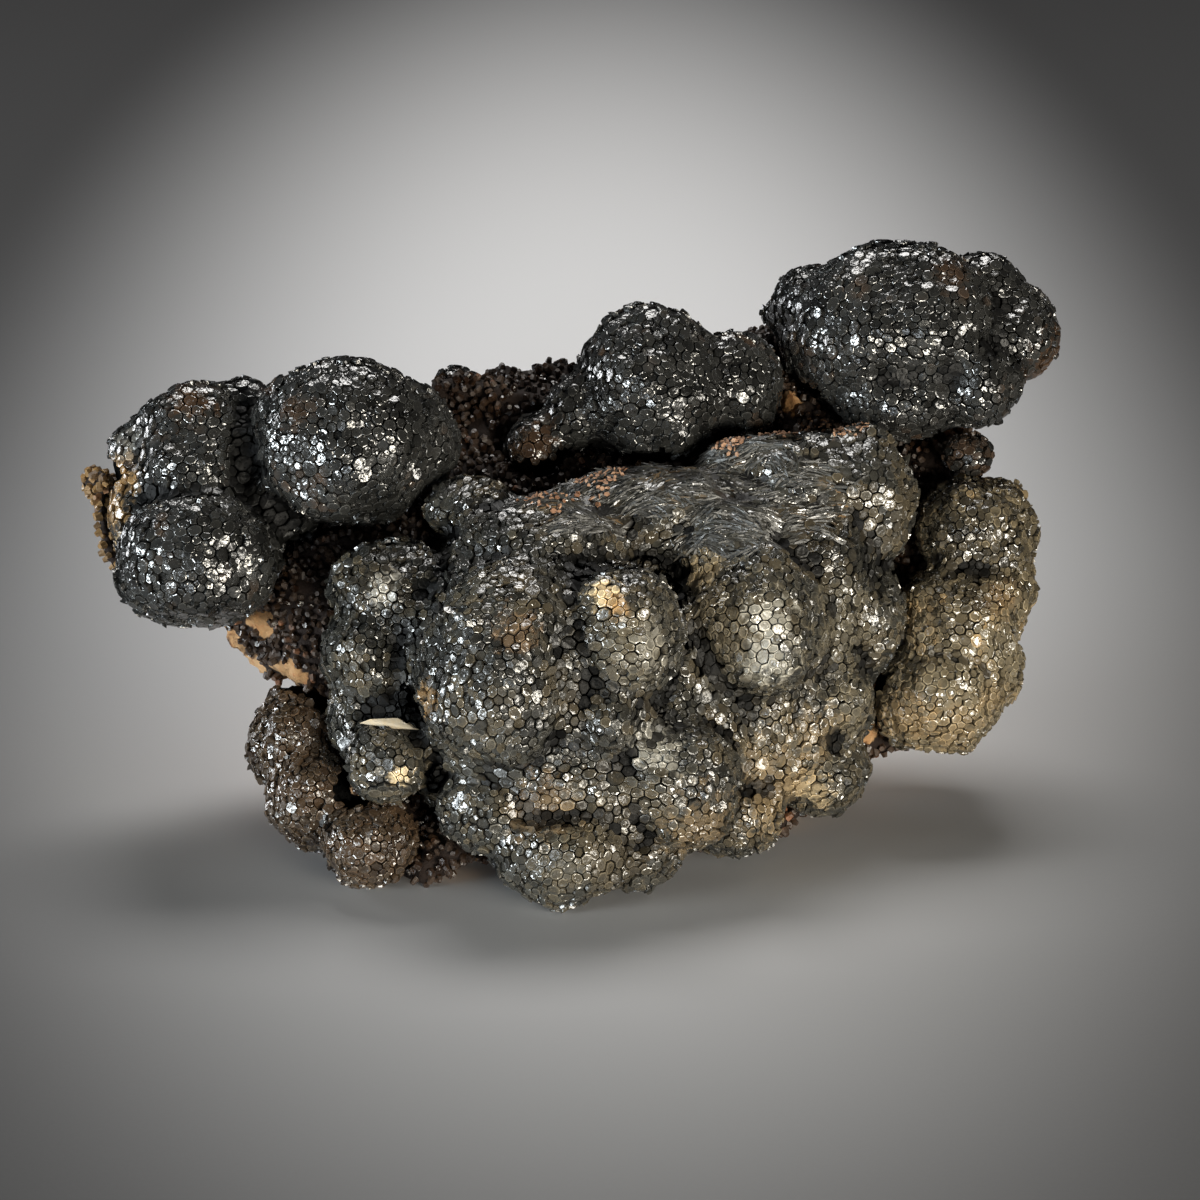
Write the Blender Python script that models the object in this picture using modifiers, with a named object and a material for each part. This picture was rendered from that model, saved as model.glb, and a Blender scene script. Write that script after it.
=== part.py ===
"""A specimen of pyromorphite: dark, rounded clusters of the mineral grown on a lump of brown limonite rock.

Each cluster is a group of round lobes that grew into one another, so it is one solid. The clusters sit in
shallow sockets of the rock. The crystals that cover every lobe are under a millimetre across; the lobes here
reach the tips of those crystals.

Lobes are placed as they are seen from the front, looking down by VIEW_TILT: how far to the right, how far up
and how near, in millimetres from a reference point in the middle of the specimen. Their half-axes follow the
same three directions: wide, high and deep.
"""

import math

import bmesh
import bpy
from mathutils import Matrix, Vector, noise

MM = 0.001

# Driving dimensions, in millimetres and degrees.
VIEW_TILT = 20.0
REFERENCE_HEIGHT = 20.9  # the reference point's height over the surface that the specimen stands on
SEAT_GAP = 0.6  # left between a cluster and its socket in the rock
SOCKET_DETAIL = 0.4  # a socket's faces, as a share of its cluster's
LOBE_SWELL = 0.1  # how far a lobe's surface swells and dips, as a share of its size
LOBE_LUMP = 0.9  # from one swell to the next, as a share of the lobe's size
FINE_LUMP = 0.38
FINE_SHARE = 0.5
FINE_SHIFT = Vector((7.3, 1.9, 4.1))  # keeps the fine lumps from following the broad ones
GRAIN = 0.5  # the finest form kept where lobes grow into one another

# The rock's broken surface.
ROCK_LUMP = 7.0  # from one lump to the next
ROCK_LUMP_HEIGHT = 1.8
LEDGE_SPACING = 7.5  # the rock breaks in thin beds, which leave ledges
LEDGE_DEPTH = 2.2
BED_DIRECTION = Vector((0.25, 0.35, 0.9))
BED_WAVE = 12.0  # from one bend of a bed to the next
BED_BEND = 0.6  # as a share of LEDGE_SPACING
PIT_SPACING = 10.0
PIT_REACH = 0.42  # a pit's radius, as a share of PIT_SPACING
PIT_DEPTH = 3.0

# (right, up, near), (wide, high, deep)
LEFT_CLUSTER = [
    ((-33.2, 13.3, -3.2), (5.6, 4.9, 5.8)),
    ((-33.6, 10.6, -1.8), (4.8, 4.3, 5.4)),
    ((-29.8, 15.6, -4.2), (3.2, 3.2, 3.8)),
    ((-37.5, 11.6, -4.6), (3.6, 3.6, 4.0)),
    ((-38.0, 7.4, -3.2), (3.0, 4.8, 4.2)),
    ((-33.2, 3.4, 1.5), (7.2, 6.0, 6.6)),
    ((-20.9, 13.1, 0.0), (7.9, 7.2, 7.1)),
    ((-16.8, 13.5, -2.4), (5.3, 5.2, 5.6)),
    ((-26.8, 8.6, -3.0), (5.0, 4.4, 5.0)),
]

MIDDLE_CLUSTER = [
    ((4.4, 17.9, -8.8), (6.9, 6.9, 7.4)),
    ((11.4, 18.2, -9.8), (4.2, 4.9, 5.2)),
    ((-2.0, 15.8, -7.6), (2.8, 3.5, 3.6)),
    ((-5.4, 12.9, -7.8), (2.8, 3.1, 3.4)),
]

RIGHT_CLUSTER = [
    ((25.0, 22.9, -13.0), (9.9, 7.9, 8.6)),
    ((18.1, 25.0, -13.0), (3.7, 3.7, 4.4)),
    ((15.0, 24.4, -15.0), (1.5, 1.6, 1.8)),
    ((32.4, 25.8, -14.5), (4.3, 4.2, 5.0)),
    ((34.9, 22.7, -14.0), (4.4, 4.7, 5.0)),
    ((31.8, 18.5, -10.4), (3.9, 4.0, 4.4)),
    ((25.4, 16.9, -11.0), (6.2, 3.5, 5.2)),
]

FRONT_CLUSTER = [
    ((-10.4, 7.2, -0.2), (4.0, 3.1, 4.2)),
    ((-5.2, 3.6, 1.6), (7.8, 5.2, 7.4)),
    ((4.4, 6.6, -2.0), (10.4, 4.5, 6.2)),
    ((10.8, 4.6, -0.4), (6.2, 4.6, 5.8)),
    ((16.4, 8.9, -4.4), (9.2, 5.1, 5.8)),
    ((21.6, 8.2, -5.0), (4.6, 6.2, 5.2)),
    ((21.2, -0.8, -4.5), (4.0, 5.7, 5.2)),
    ((17.4, 1.8, -1.4), (5.0, 7.4, 5.2)),
    ((18.2, -8.3, -3.5), (4.8, 4.8, 5.2)),
    ((17.8, -14.0, -4.0), (4.3, 3.8, 4.6)),
    ((11.1, -17.4, -0.5), (4.2, 3.6, 4.6)),
    ((12.4, -1.7, 2.8), (6.2, 6.9, 6.2)),
    ((10.0, 2.6, 1.6), (3.9, 3.3, 4.4)),
    ((-8.0, -5.8, 8.6), (7.2, 9.0, 7.8)),
    ((1.4, -3.3, 8.4), (5.5, 6.4, 6.4)),
    ((0.2, -9.3, 9.4), (3.5, 4.1, 4.4)),
    ((-6.6, 0.8, 6.0), (6.2, 3.8, 5.4)),
    ((-16.5, 0.4, 3.4), (5.8, 4.7, 5.2)),
    ((-18.5, -4.5, 4.0), (4.3, 4.9, 5.0)),
    ((-17.1, -12.9, 6.5), (3.8, 3.5, 3.8)),
    ((-8.2, -16.7, 7.0), (5.1, 4.1, 5.0)),
    ((4.8, -14.6, 5.5), (6.6, 6.4, 6.0)),
    ((-2.0, -15.0, 6.4), (8.6, 5.8, 5.6)),
    ((-3.2, -20.3, 8.4), (5.7, 4.2, 4.8)),
    ((2.7, -20.4, 5.5), (3.8, 2.9, 4.2)),
    ((-3.0, -9.0, 2.5), (14.5, 12.5, 6.6)),
    ((12.5, -9.5, -1.5), (7.5, 8.0, 5.4)),
    ((1.0, 2.5, -2.5), (11.5, 5.0, 4.6)),
    ((-15.6, -8.4, 2.5), (4.6, 5.0, 4.4)),
    ((-18.8, -9.6, 3.0), (3.5, 4.2, 4.0)),
]

LOWER_LEFT_CLUSTER = [
    ((-25.2, -11.7, -1.2), (3.7, 4.3, 4.4)),
    ((-23.0, -16.2, 1.0), (4.3, 4.2, 4.6)),
    ((-18.8, -19.8, 4.8), (3.7, 3.3, 4.0)),
]

RIGHT_COLUMN = [
    ((31.6, 5.4, -9.0), (5.0, 4.8, 5.4)),
    ((34.2, 8.2, -10.0), (1.8, 1.5, 2.4)),
    ((32.4, 0.8, -9.4), (4.1, 5.0, 5.0)),
    ((29.9, -1.7, -8.0), (5.1, 5.4, 5.4)),
    ((31.9, -4.2, -9.0), (3.5, 6.0, 5.0)),
    ((28.2, -8.0, -7.5), (5.1, 4.6, 5.2)),
]

SMALL_RIGHT_NODULE = [((31.2, 12.3, -9.2), (2.1, 1.8, 2.1))]

REAR_NODULE = [((-12.2, 17.9, -17.0), (2.5, 2.1, 2.6))]

ROCK = [
    ((-34.7, 7.6, -6.0), (8.1, 6.8, 5.4)),
    ((-26.4, 0.4, -5.0), (5.7, 6.5, 6.0)),
    ((-22.8, -3.8, -4.0), (5.2, 5.0, 6.0)),
    ((-17.0, 1.0, -9.0), (11.0, 11.0, 7.5)),
    ((-24.0, 8.0, -12.0), (11.0, 8.0, 6.0)),
    ((-9.4, 13.1, -15.0), (10.0, 6.8, 6.0)),
    ((-3.4, 16.4, -16.0), (4.2, 3.4, 4.0)),
    ((3.0, 9.5, -16.5), (14.0, 9.0, 7.5)),
    ((0.0, -2.0, -9.5), (19.0, 16.0, 10.5)),
    ((18.5, 8.5, -16.0), (11.0, 11.0, 8.0)),
    ((14.0, 20.0, -18.0), (4.0, 3.8, 5.0)),
    ((25.0, 17.0, -19.5), (7.0, 7.5, 5.0)),
    ((28.0, 0.4, -14.5), (6.4, 9.6, 5.6)),
    ((28.0, 12.0, -15.5), (3.6, 5.0, 5.0)),
    ((23.2, -9.6, -11.0), (4.0, 4.2, 5.4)),
    ((-1.0, -13.0, -8.0), (20.0, 10.5, 13.0)),
    ((-14.2, -20.2, 1.6), (5.0, 3.4, 5.0)),
    ((-20.6, -10.6, -3.4), (5.0, 5.6, 5.0)),
    ((-18.0, -16.6, 0.4), (4.2, 4.6, 4.6)),
]

# Faces of each solid after its shape is thinned to the fewest that hold it.
CLUSTERS = {
    "left_cluster": (LEFT_CLUSTER, 950),
    "middle_cluster": (MIDDLE_CLUSTER, 660),
    "right_cluster": (RIGHT_CLUSTER, 900),
    "front_cluster": (FRONT_CLUSTER, 2150),
    "lower_left_cluster": (LOWER_LEFT_CLUSTER, 360),
    "right_column": (RIGHT_COLUMN, 580),
    "small_right_nodule": (SMALL_RIGHT_NODULE, 90),
    "rear_nodule": (REAR_NODULE, 90),
}
ROCK_FACES = 2300

# Colour, roughness and metallic value of each finish.
FINISHES = {
    "pyromorphite_black": ((0.030, 0.032, 0.034), 0.25, 0.0),
    "pyromorphite_grey": ((0.070, 0.066, 0.058), 0.3, 0.0),
    "pyromorphite_olive": ((0.095, 0.078, 0.045), 0.3, 0.0),
    "limonite": ((0.30, 0.17, 0.08), 0.9, 0.0),
}
FINISH_OF = {
    "front_cluster": "pyromorphite_grey",
    "lower_left_cluster": "pyromorphite_olive",
    "right_column": "pyromorphite_olive",
    "rear_nodule": "pyromorphite_olive",
}


def clear_scene():
    for obj in list(bpy.data.objects):
        bpy.data.objects.remove(obj)


def new_collection(name):
    made = bpy.data.collections.new(name)
    bpy.context.scene.collection.children.link(made)
    return made


def finish(name):
    found = bpy.data.materials.get(name)
    if found:
        return found
    colour, roughness, metallic = FINISHES[name]
    made = bpy.data.materials.new(name)
    made.use_nodes = True
    shader = made.node_tree.nodes["Principled BSDF"]
    shader.inputs["Base Color"].default_value = (*colour, 1.0)
    shader.inputs["Roughness"].default_value = roughness
    shader.inputs["Metallic"].default_value = metallic
    made.diffuse_color = (*colour, 1.0)
    return made


def seen_from_front():
    """Turns (right, near-to-far, up) as seen from the front into the specimen's own frame, in metres."""
    tilt = Matrix.Rotation(math.radians(-VIEW_TILT), 4, "X")
    return Matrix.Translation((0, 0, REFERENCE_HEIGHT * MM)) @ tilt @ Matrix.Scale(MM, 4)


def crystal_swell(point, size):
    """How far a lobe's surface stands out or in: broad lumps with a little finer unevenness on them."""
    broad = noise.noise(point / (size * LOBE_LUMP))
    fine = noise.noise(point / (size * FINE_LUMP) + FINE_SHIFT)
    return size * LOBE_SWELL * (broad + FINE_SHARE * fine)


def rock_swell(point, _size):
    """How far the rock's surface stands out or in: lumps, the ledges of its beds, and pits, of any lobe alike."""
    lumps = ROCK_LUMP_HEIGHT * noise.noise(point / ROCK_LUMP)
    bed = point.dot(BED_DIRECTION) / LEDGE_SPACING + BED_BEND * noise.noise(point / BED_WAVE)
    ledges = LEDGE_DEPTH * (0.5 - bed % 1.0)
    from_pit = noise.voronoi(point / PIT_SPACING)[0][0]
    pits = PIT_DEPTH * max(0.0, 1 - from_pit / PIT_REACH)
    return lumps + ledges - pits


def add_lobe(mesh, place, half_axes, unevenness):
    """Adds one uneven ellipsoid to a bmesh that is in millimetres, as seen from the front."""
    right, up, near = place
    wide, high, deep = half_axes
    centre = Vector((right, -near, up))
    size = min(half_axes)
    added = bmesh.ops.create_icosphere(mesh, subdivisions=4, radius=1.0)
    for vertex in added["verts"]:
        outward = vertex.co.copy()
        spot = centre + Vector((outward.x * wide, outward.y * deep, outward.z * high))
        vertex.co = spot + outward * unevenness(spot, size)


def grown_body(name, lobes, unevenness, faces, material, collection):
    """One closed body from lobes that grow into one another, with its modifiers kept live."""
    shape = bmesh.new()
    for place, half_axes in lobes:
        add_lobe(shape, place, half_axes, unevenness)
    shape.transform(seen_from_front())
    mesh = bpy.data.meshes.new(name)
    shape.to_mesh(mesh)
    shape.free()
    body = bpy.data.objects.new(name, mesh)
    collection.objects.link(body)
    mesh.materials.append(material)

    join = body.modifiers.new("join lobes", "REMESH")
    join.mode = "VOXEL"
    join.voxel_size = GRAIN * MM
    ease = body.modifiers.new("ease steps", "SMOOTH")
    ease.factor = 0.5
    ease.iterations = 2
    thin = body.modifiers.new("thin faces", "DECIMATE")
    bpy.context.view_layer.update()
    graph = bpy.context.evaluated_depsgraph_get()
    thin.ratio = 1.0
    full = body.evaluated_get(graph).data
    full.calc_loop_triangles()
    thin.ratio = min(1.0, faces / len(full.loop_triangles))
    thin.use_collapse_triangulate = True
    return body


def socket_cutter(body, collection):
    """A plainer copy of a cluster, SEAT_GAP larger all over, that cuts its socket in the rock."""
    cutter = bpy.data.objects.new(body.name + "_socket", body.data)
    collection.objects.link(cutter)
    for source in body.modifiers:
        copied = cutter.modifiers.new(source.name, source.type)
        for setting in ("mode", "voxel_size", "factor", "iterations", "ratio", "use_collapse_triangulate"):
            if hasattr(source, setting):
                setattr(copied, setting, getattr(source, setting))
    cutter.modifiers["thin faces"].ratio *= SOCKET_DETAIL
    grow = cutter.modifiers.new("leave gap", "DISPLACE")
    grow.mid_level = 0.0
    grow.strength = SEAT_GAP * MM
    cutter.hide_render = True
    cutter.display_type = "WIRE"
    return cutter


def floor_cutter(collection):
    """The block below the surface that the specimen stands on. It leaves the rock its flat, broken-off foot."""
    side = 200 * MM
    shape = bmesh.new()
    bmesh.ops.create_cube(shape, size=side)
    mesh = bpy.data.meshes.new("below_floor")
    shape.to_mesh(mesh)
    shape.free()
    block = bpy.data.objects.new("below_floor", mesh)
    block.location = (0, 0, -side / 2)
    collection.objects.link(block)
    block.hide_render = True
    block.display_type = "WIRE"
    return block


def cut_by_all(body, cutters):
    cut = body.modifiers.new("cut sockets and foot", "BOOLEAN")
    cut.operation = "DIFFERENCE"
    cut.operand_type = "COLLECTION"
    cut.collection = cutters
    cut.solver = "EXACT"


def bounds_of(bodies):
    graph = bpy.context.evaluated_depsgraph_get()
    points = []
    for body in bodies:
        evaluated = body.evaluated_get(graph)
        points += [evaluated.matrix_world @ vertex.co for vertex in evaluated.data.vertices]
    low = Vector([min(point[axis] for point in points) for axis in range(3)])
    high = Vector([max(point[axis] for point in points) for axis in range(3)])
    return low, high


def centre_over_origin(everything, bodies):
    """Hangs all objects on one empty and moves it so that the specimen's box stands centred over the origin."""
    bpy.context.view_layer.update()
    low, high = bounds_of(bodies)
    holder = bpy.data.objects.new("specimen", None)
    bpy.context.scene.collection.objects.link(holder)
    for obj in everything:
        obj.parent = holder
    middle = (low + high) / 2
    holder.location = (-middle.x, -middle.y, 0)


def main():
    clear_scene()
    specimen = new_collection("pyromorphite")
    cutters = new_collection("cutters")
    clusters = []
    for name, (lobes, faces) in CLUSTERS.items():
        material = finish(FINISH_OF.get(name, "pyromorphite_black"))
        clusters.append(grown_body(name, lobes, crystal_swell, faces, material, specimen))
    rock = grown_body("rock", ROCK, rock_swell, ROCK_FACES, finish("limonite"), specimen)
    for cluster in clusters:
        socket_cutter(cluster, cutters)
    floor_cutter(cutters)
    cut_by_all(rock, cutters)
    centre_over_origin([*clusters, rock, *cutters.objects], [*clusters, rock])


main()
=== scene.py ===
"""A specimen of pyromorphite on limonite: crystal crusts, rock, loose grains, and the studio around them.

Every cluster is one closed crust of small plates. Its surface is covered with evenly spread points joined by
triangles, the dual of those triangles gives the cells, and each cell is raised, leaned and bevelled into a
plate. The rock has a broken, earthy skin, with a druse of small brown crystals on its open side.
"""

import math

import bmesh
import bpy
import numpy as np
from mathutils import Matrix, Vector, noise
from mathutils.bvhtree import BVHTree


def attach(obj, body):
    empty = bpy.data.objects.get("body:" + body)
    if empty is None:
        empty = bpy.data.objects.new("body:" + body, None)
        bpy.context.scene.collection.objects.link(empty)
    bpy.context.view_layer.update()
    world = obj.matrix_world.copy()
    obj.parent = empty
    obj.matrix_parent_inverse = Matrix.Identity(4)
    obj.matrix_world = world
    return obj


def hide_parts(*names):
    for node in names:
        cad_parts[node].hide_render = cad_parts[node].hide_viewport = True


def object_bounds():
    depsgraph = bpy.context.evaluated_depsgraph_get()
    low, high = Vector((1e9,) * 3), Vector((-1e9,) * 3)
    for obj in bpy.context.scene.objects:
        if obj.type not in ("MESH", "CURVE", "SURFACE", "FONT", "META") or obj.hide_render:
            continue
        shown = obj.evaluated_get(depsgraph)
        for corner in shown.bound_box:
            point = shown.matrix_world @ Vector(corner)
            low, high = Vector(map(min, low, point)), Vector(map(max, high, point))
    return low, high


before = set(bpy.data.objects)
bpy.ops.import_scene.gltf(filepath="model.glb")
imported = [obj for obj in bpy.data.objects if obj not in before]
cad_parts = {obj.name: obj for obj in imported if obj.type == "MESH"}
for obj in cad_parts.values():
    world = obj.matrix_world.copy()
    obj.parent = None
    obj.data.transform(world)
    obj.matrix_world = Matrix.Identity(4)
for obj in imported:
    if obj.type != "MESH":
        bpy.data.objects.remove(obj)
cad_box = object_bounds()

MM = 0.001
BODY = "root"

# The photograph's view.
VIEW_TILT = math.radians(20.0)
AIM = Vector((2.03, -5.63, 20.9)) * MM
PICTURE_WIDTH = 99.0 * MM
LENS = 150.0  # millimetres, as the sensor's width is
SENSOR = 36.0
TOWARDS = Vector((0.0, math.cos(VIEW_TILT), -math.sin(VIEW_TILT)))
EYE = AIM - TOWARDS * PICTURE_WIDTH * LENS / SENSOR

# Surfaces before they are cut into cells.
FINE_STEP = 0.34 * MM
ROCK_STEP = 0.5 * MM
EVEN_PASSES = 5
JITTER = 0.16 * MM  # a rough surface thins evenly, a smooth one only where it is flat
FACET_REACH = 0.65 * MM
ROCK_FACET_REACH = 0.6 * MM
# How each size of valley changes, as its reach and how much deeper it gets. A wide one may fill instead.
DEEP_CREASES = ((2.6 * MM, 0.15), (0.9 * MM, 3.0))
SHALLOW_CREASES = ((3.6 * MM, -0.65), (0.8 * MM, 2.4))
LOBE_GAIN = 0.3
GLINT_TILT = 1.1
SWELL = 0.4  # millimetres
SWELL_SPACING = 3.4 * MM
SKIN_DEPTH = 0.34 * MM  # what the plates need between the skin and the solid's form
LUMP = 0.75 * MM
LUMP_SPACING = 2.1 * MM
# The crease mark, which the plates' material paints in shade: its reach, and the depths where it starts and
# is full.
CREASE_REACH = 1.2 * MM
CREASE_START = 0.06 * MM
CREASE_FULL = 0.42 * MM
CONTACT = 0.9 * MM  # a crust has no crystals where the rock is this near
WELD = 0.001 * MM  # points this near each other become one

# How strongly the crystals mirror, as an index of refraction.
PLATE_INDEX = 1.9
DRUSE_INDEX = 1.7

# The painted pool of light on the card: its middle, and its reach behind the middle and before it, in metres.
LIGHT_POOL_MIDDLE = (0.002, 0.08, 0.0)
LIGHT_POOL_BEHIND = (0.07, 0.3, 1.0)
LIGHT_POOL_BEFORE = (0.07, 0.18, 1.0)
LIGHT_POOL_COLOUR = (0.93, 0.93, 0.94)
PAINTED_FALLOFF_COLOUR = (0.06, 0.06, 0.061)
CARD_REACH = 2.0  # metres, from the middle to each edge


class Wire:
    """What a node gives out. Sums, differences and products of wires add Math or Vector Math nodes."""

    def __init__(self, tree, socket):
        self.tree = tree
        self.socket = socket

    def other(self, name):
        """Another output of the same node."""
        return Wire(self.tree, found(self.socket.node.outputs, name))

    def joined(self, operation, first, second):
        kinds = [wire.socket.type for wire in (first, second) if isinstance(wire, Wire)]
        vectors = "VECTOR" in kinds or "RGBA" in kinds
        kind = "ShaderNodeVectorMath" if vectors else "ShaderNodeMath"
        return self.tree.node(kind, {"operation": operation}, {0: first, 1: second})

    def __add__(self, other):
        return self.joined("ADD", self, other)

    def __radd__(self, other):
        return self.joined("ADD", other, self)

    def __sub__(self, other):
        return self.joined("SUBTRACT", self, other)

    def __rsub__(self, other):
        return self.joined("SUBTRACT", other, self)

    def __mul__(self, other):
        return self.joined("MULTIPLY", self, other)

    def __rmul__(self, other):
        return self.joined("MULTIPLY", other, self)

    def __truediv__(self, other):
        return self.joined("DIVIDE", self, other)


def found(sockets, key):
    """A node's socket by its number, or the socket in use that has this name."""
    if isinstance(key, int):
        return sockets[key]
    return next(socket for socket in sockets if socket.enabled and socket.name == key)


class Tree:
    """A node tree to build in."""

    def __init__(self, tree):
        self.tree = tree

    def node(self, kind, settings=None, values=None, output=None):
        """Adds a node: its type, its settings, then the values or wires of its sockets."""
        made = self.tree.nodes.new(kind)
        for name, setting in (settings or {}).items():
            if name == "captures":
                for socket_type, label in setting:
                    made.capture_items.new(socket_type, label)
            else:
                setattr(made, name, setting)
        for key, value in (values or {}).items():
            self.feed(found(made.inputs, key), value)
        if output is None:
            outputs = [socket for socket in made.outputs if socket.enabled]
            return Wire(self, outputs[0])
        return Wire(self, found(made.outputs, output))

    def feed(self, socket, value):
        if isinstance(value, Wire):
            self.tree.links.new(value.socket, socket)
        elif socket.type == "RGBA":
            socket.default_value = (*value[:3], 1.0)
        elif socket.type == "VECTOR" and isinstance(value, (int, float)):
            socket.default_value = (value, value, value)
        else:
            socket.default_value = value

    def mix(self, share, first, second):
        """The first colour, gone over to the second by this share."""
        return self.node("ShaderNodeMix", {"data_type": "RGBA"}, {"Factor": share, "A": first, "B": second})

    def step(self, value, low, high):
        """0 below low, 1 above high, and smooth between them."""
        spread = {"Value": value, "From Min": low, "From Max": high}
        return self.node("ShaderNodeMapRange", {"interpolation_type": "SMOOTHSTEP"}, spread)

    def noise(self, place, size, detail=2.0, roughness=0.5, distortion=0.0):
        """Cloudy noise from 0 to 1, whose clouds are about this far apart."""
        values = {"Vector": place, "Scale": 1 / size, "Detail": detail, "Roughness": roughness,
                  "Distortion": distortion}
        return self.node("ShaderNodeTexNoise", {}, values, output="Fac")

    def attribute(self, name):
        return self.node("ShaderNodeAttribute", {"attribute_name": name}, output="Fac")

    def bump(self, height, distance, facing=None):
        values = {"Height": height, "Distance": distance}
        if facing is not None:
            values["Normal"] = facing
        return self.node("ShaderNodeBump", {}, values)

    def facets(self, place, size, tilt):
        """The surface's direction, tilted at random in each small cell, far more in a few smaller ones."""
        cells = self.node("ShaderNodeTexVoronoi", {}, {"Vector": place, "Scale": 1 / size}, output="Color")
        glints = self.node("ShaderNodeTexVoronoi", {}, {"Vector": place, "Scale": 2 / size}, output="Color")
        few = self.step(self.node("ShaderNodeSeparateColor", {}, {"Color": glints}), 0.84, 0.88)
        steep = (glints - (0.7, 0.5, 0.5)) * (few * GLINT_TILT)
        return self.node("ShaderNodeNewGeometry", output="Normal") + (cells - (0.5, 0.5, 0.5)) * tilt + steep

    def paint_shade_in_gaps(self, surface, share):
        """Paints shade: lets the surface go over to dull black by this share, as in the gaps between
        crystals.
        """
        black = self.node("ShaderNodeBsdfDiffuse", {}, {"Color": (0.0, 0.0, 0.0)})
        shine = Wire(self, surface.outputs[0])
        mixed = self.node("ShaderNodeMixShader", {}, {0: share, 1: shine, 2: black})
        self.tree.links.new(mixed.socket, self.tree.nodes["Material Output"].inputs["Surface"])


# Colours, as linear red, green and blue.
CHARCOAL = (0.006, 0.006, 0.0055)
SLATE = (0.045, 0.045, 0.042)
UMBER = (0.07, 0.04, 0.022)
OLIVE = (0.1, 0.078, 0.046)
HONEY = (0.34, 0.23, 0.11)
CREAM = (0.72, 0.56, 0.33)
BONE = (0.62, 0.58, 0.5)
RUST = (0.42, 0.15, 0.05)
LIVER = (0.016, 0.007, 0.0035)
BARK = (0.11, 0.08, 0.048)
TAN = (0.62, 0.38, 0.19)
OCHRE = (0.4, 0.21, 0.08)
# Painted shade, for the gaps between plates and the creases between lobes.
PAINTED_DEEP_SHADE = (0.004, 0.004, 0.004)
SOOT = (0.014, 0.0137, 0.012)
STONE = (0.082, 0.078, 0.063)
CHALK = (0.42, 0.4, 0.34)
PEACH = (0.6, 0.36, 0.22)
CINNAMON = (0.3, 0.14, 0.07)
# Painted shade: dark spots on the front cluster's left side and near its upper right, and on the column's
# top.
PAINTED_SHADE = (0.018, 0.018, 0.016)
# Painted light: paler spots, most of them on the right of the front cluster and the column.
PAINTED_LIGHT = (0.26, 0.22, 0.145)
FLINT = (0.075, 0.073, 0.062)
DARK_OLIVE = (0.025, 0.021, 0.013)
PALE_OLIVE = (0.26, 0.21, 0.13)
GOLD = (0.4, 0.24, 0.1)


def new_material(name):
    """A material with an empty tree but for its surface, with the place in the object's own coordinates."""
    material = bpy.data.materials.new(name)
    material.use_nodes = True
    tree = Tree(material.node_tree)
    surface = material.node_tree.nodes["Principled BSDF"]
    place = tree.node("ShaderNodeTexCoord", output="Object")
    return material, tree, surface, place


def patch(tree, place, ripple, centre, reach):
    """1 within a ragged spot around a point, and 0 outside it."""
    ends = {0: place, 1: tuple(centre)}
    away = tree.node("ShaderNodeVectorMath", {"operation": "DISTANCE"}, ends, output="Value")
    return 1 - tree.step(away / (reach * MM) + ripple, 0.3, 1.0)


def pyromorphite(name, dark, light, stain, stain_from, gloss, spots=()):
    """Crystal plates: own tints, stains in clouds, paler rims as a painted highlight, gaps and creases in
    painted black shade.
    """
    material, tree, surface, place = new_material(name)
    tint = tree.attribute("tint")
    depth = tree.attribute("depth")
    crease = tree.attribute("crease")
    cloud = tree.noise(place, 5.0 * MM, detail=3.0)
    mottle = tree.noise(place, 0.5 * MM)
    colour = tree.mix(tint * 0.6 + tree.step(cloud, 0.3, 0.7) * 0.4, dark, light)
    colour = tree.mix(tree.step(cloud + tint * 0.3, stain_from, stain_from + 0.2) * 0.7, colour, stain)
    ripple = (tree.noise(place, 0.9 * MM, detail=3.0, roughness=0.65) - 0.5) * 2.6 + (tint - 0.5) * 0.5
    for centre, reach, spot_colour, share in spots:
        colour = tree.mix(patch(tree, place, ripple, centre, reach) * share, colour, spot_colour)
    # Painted highlight: the bevelled rims come out about twice as bright as the plate.
    colour = colour * (0.8 + mottle * 0.4 + tree.attribute("rim") * 0.9)
    # Painted shade: the deep walls between plates and the creases between lobes go to black.
    deep = tree.step(depth, 0.2, 0.9)
    colour = tree.mix(deep, colour, PAINTED_DEEP_SHADE)
    colour = tree.mix(crease * 0.85, colour, PAINTED_DEEP_SHADE)
    tree.feed(surface.inputs["Base Color"], colour)
    shiny = tree.step(tint, 0.76, 0.8)
    roughness = gloss + mottle * 0.15 - shiny * (gloss - 0.1) + deep * 0.4 + crease * 0.4
    tree.feed(surface.inputs["Roughness"], roughness)
    surface.inputs["IOR"].default_value = PLATE_INDEX
    fine = tree.noise(place, 0.2 * MM, detail=1.0)
    facing = tree.facets(place, 0.24 * MM, 0.2)
    tree.feed(surface.inputs["Normal"], tree.bump(fine, 0.02 * MM, facing))
    # More painted shade: the gaps and creases also go over to a dull black surface.
    tree.paint_shade_in_gaps(surface, tree.step(depth, 0.25, 1.0) * 0.95 + crease * 0.75)
    return material


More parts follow.
